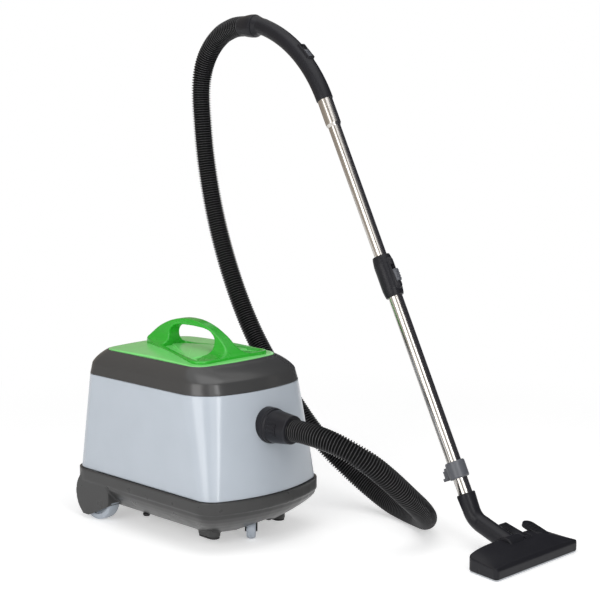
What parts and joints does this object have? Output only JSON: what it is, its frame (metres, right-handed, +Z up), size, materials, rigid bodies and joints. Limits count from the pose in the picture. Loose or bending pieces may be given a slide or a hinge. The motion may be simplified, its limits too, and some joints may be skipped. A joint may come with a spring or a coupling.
{
  "type": "canister vacuum cleaner",
  "caption": "Commercial canister vacuum cleaner: wheeled grey body with green lid handle, ribbed hose, telescopic steel wand and combination floor tool",
  "frame": {"origin": "Middle of the footprint of the machine without its hose, on the floor", "axes": "+Z up; +Y from the hose inlet to the rear of the body; +X from the body to the wand and floor tool"},
  "size_m": [0.593, 1.0629, 1.1479],
  "materials": {
    "shell_grey": "moulded ABS, fine gloss, light blue-grey",
    "charcoal_plastic": "moulded ABS, satin charcoal",
    "panel_green": "moulded ABS, glossy light green",
    "handle_green": "moulded ABS, glossy green",
    "black_plastic": "moulded polypropylene, satin black",
    "hose_black": "extruded flexible EVA, satin black",
    "wheel_grey": "moulded polypropylene, light blue-grey",
    "hook_grey": "moulded ABS, dark grey",
    "tube_steel": "drawn steel tube, chrome plated",
    "pin_steel": "turned steel",
    "soft_rubber": "moulded rubber, matt",
    "motor_metal": "pressed aluminium",
    "motor_dark": "laminated steel and painted frame",
    "filter_cloth": "non-woven filter cloth, off-white",
    "bag_cloth": "non-woven dust bag, cream",
    "card_board": "pressed card, tan",
    "deck_grey": "moulded polypropylene, mid grey",
    "sole_metal": "pressed steel, brushed",
    "bristle_black": "nylon bristle, black",
    "cap_grey": "moulded acetal, grey"
  },
  "bodies": {
    "root": {"base_tub": "charcoal_plastic", "body_shell": "shell_grey", "motor_deck": "deck_grey", "filter_grille": "black_plastic", "motor_filter": "filter_cloth", "fan_housing": "motor_metal", "motor": "motor_dark", "motor_rings": "soft_rubber", "cord_gland": "black_plastic", "exhaust_filter": "filter_cloth", "exhaust_grille": "black_plastic", "dust_bag": "bag_cloth", "bag_collar": "card_board", "bag_guides": "black_plastic", "inlet_socket": "black_plastic", "socket_seal": "soft_rubber", "rubber_feet": "soft_rubber", "rear_axle": "pin_steel", "hinge_pins": "pin_steel", "body_screws": "pin_steel", "switch_frame": "black_plastic", "inlet_cuff": "black_plastic", "hose": "hose_black", "grip_cuff": "black_plastic", "hand_grip": "black_plastic", "inner_tube": "tube_steel"},
    "wheel_left_body": {"wheel_left": "wheel_grey"},
    "wheel_right_body": {"wheel_right": "wheel_grey"},
    "caster_yoke": {"caster_fork": "black_plastic", "caster_pin": "pin_steel"},
    "caster_roll": {"caster_wheel": "wheel_grey"},
    "lid": {"lid_frame": "charcoal_plastic", "lid_panel": "panel_green", "carry_handle": "handle_green", "lid_seal": "soft_rubber"},
    "switch_rocker": {"power_switch": "handle_green"},
    "button_left": {"cuff_button_left": "black_plastic"},
    "button_right": {"cuff_button_right": "black_plastic"},
    "air_valve": {"air_slider": "hook_grey"},
    "lower_wand": {"outer_tube": "tube_steel", "clamp_sleeve": "black_plastic", "parking_hook": "hook_grey", "tool_neck": "black_plastic"},
    "clamp_trigger": {"clamp_button": "hook_grey"},
    "floor_head": {"head_shell": "black_plastic", "sole_plate": "sole_metal", "barrel_caps": "cap_grey", "pedal_pin": "pin_steel"},
    "flat_pedal": {"pedal_flat": "black_plastic"},
    "round_pedal": {"pedal_round": "black_plastic"},
    "brushes": {"brush_frame": "black_plastic", "brush_bristles": "bristle_black"},
    "sole_roller_left": {"roller_left": "cap_grey"},
    "sole_roller_right": {"roller_right": "cap_grey"}
  },
  "joints": [
    {"name": "wheel_left_spin", "type": "hinge", "parent": "root", "child": "wheel_left_body", "pos_m": [-0.271, 0.421, 0.056], "axis": [1, 0, 0], "continuous": true},
    {"name": "wheel_right_spin", "type": "hinge", "parent": "root", "child": "wheel_right_body", "pos_m": [0.024, 0.421, 0.056], "axis": [1, 0, 0], "continuous": true},
    {"name": "caster_swivel", "type": "hinge", "parent": "root", "child": "caster_yoke", "pos_m": [-0.1235, 0.073, 0.06], "axis": [0, 0, 1], "continuous": true},
    {"name": "caster_spin", "type": "hinge", "parent": "caster_yoke", "child": "caster_roll", "pos_m": [-0.13269, 0.06381, 0.024], "axis": [0.7071, -0.7071, 0], "continuous": true},
    {"name": "lid_hinge", "type": "hinge", "parent": "root", "child": "lid", "pos_m": [-0.1235, 0.471, 0.341], "axis": [1, 0, 0], "range_deg": [-85, 0]},
    {"name": "switch_rock", "type": "hinge", "parent": "root", "child": "switch_rocker", "pos_m": [-0.0355, 0.47792, 0.18574], "axis": [1, 0, 0], "range_deg": [0, 16]},
    {"name": "button_left_press", "type": "slide", "parent": "root", "child": "button_left", "axis": [1, 0, 0], "range_m": [0, 0.003], "stiffness_N_per_m": 400, "springref_m": -0.003},
    {"name": "button_right_press", "type": "slide", "parent": "root", "child": "button_right", "axis": [-1, 0, 0], "range_m": [0, 0.003], "stiffness_N_per_m": 400, "springref_m": -0.003},
    {"name": "air_slide", "type": "slide", "parent": "root", "child": "air_valve", "axis": [0, 0.7478, 0.6639], "range_m": [0, 0.012]},
    {"name": "wand_slide", "type": "slide", "parent": "root", "child": "lower_wand", "axis": [0, 0.4524, 0.8918], "range_m": [0, 0.29]},
    {"name": "clamp_press", "type": "slide", "parent": "lower_wand", "child": "clamp_trigger", "axis": [0, 0.4524, 0.8918], "range_m": [0, 0.008], "stiffness_N_per_m": 300, "springref_m": -0.004},
    {"name": "head_tilt", "type": "hinge", "parent": "lower_wand", "child": "floor_head", "pos_m": [0.1555, -0.428, 0.03], "axis": [1, 0, 0], "range_deg": [-38, 8]},
    {"name": "pedal_flat_tilt", "type": "hinge", "parent": "floor_head", "child": "flat_pedal", "pos_m": [0.1975, -0.438, 0.033], "axis": [-1, 0, 0], "range_deg": [0, 9]},
    {"name": "pedal_round_tilt", "type": "hinge", "parent": "floor_head", "child": "round_pedal", "pos_m": [0.2485, -0.438, 0.033], "axis": [-1, 0, 0], "range_deg": [-9, 0]},
    {"name": "brush_lower", "type": "slide", "parent": "floor_head", "child": "brushes", "axis": [0, 0, -1], "range_m": [0, 0.005]},
    {"name": "roller_left_spin", "type": "hinge", "parent": "floor_head", "child": "sole_roller_left", "pos_m": [0.0505, -0.421, 0.005], "axis": [1, 0, 0], "continuous": true},
    {"name": "roller_right_spin", "type": "hinge", "parent": "floor_head", "child": "sole_roller_right", "pos_m": [0.2605, -0.421, 0.005], "axis": [1, 0, 0], "continuous": true}
  ],
  "couplings": [
    {"joint": "pedal_round_tilt", "follows": "pedal_flat_tilt", "ratio": -1},
    {"joint": "brush_lower", "follows": "pedal_flat_tilt", "m_per_rad": 0.031831}
  ]
}
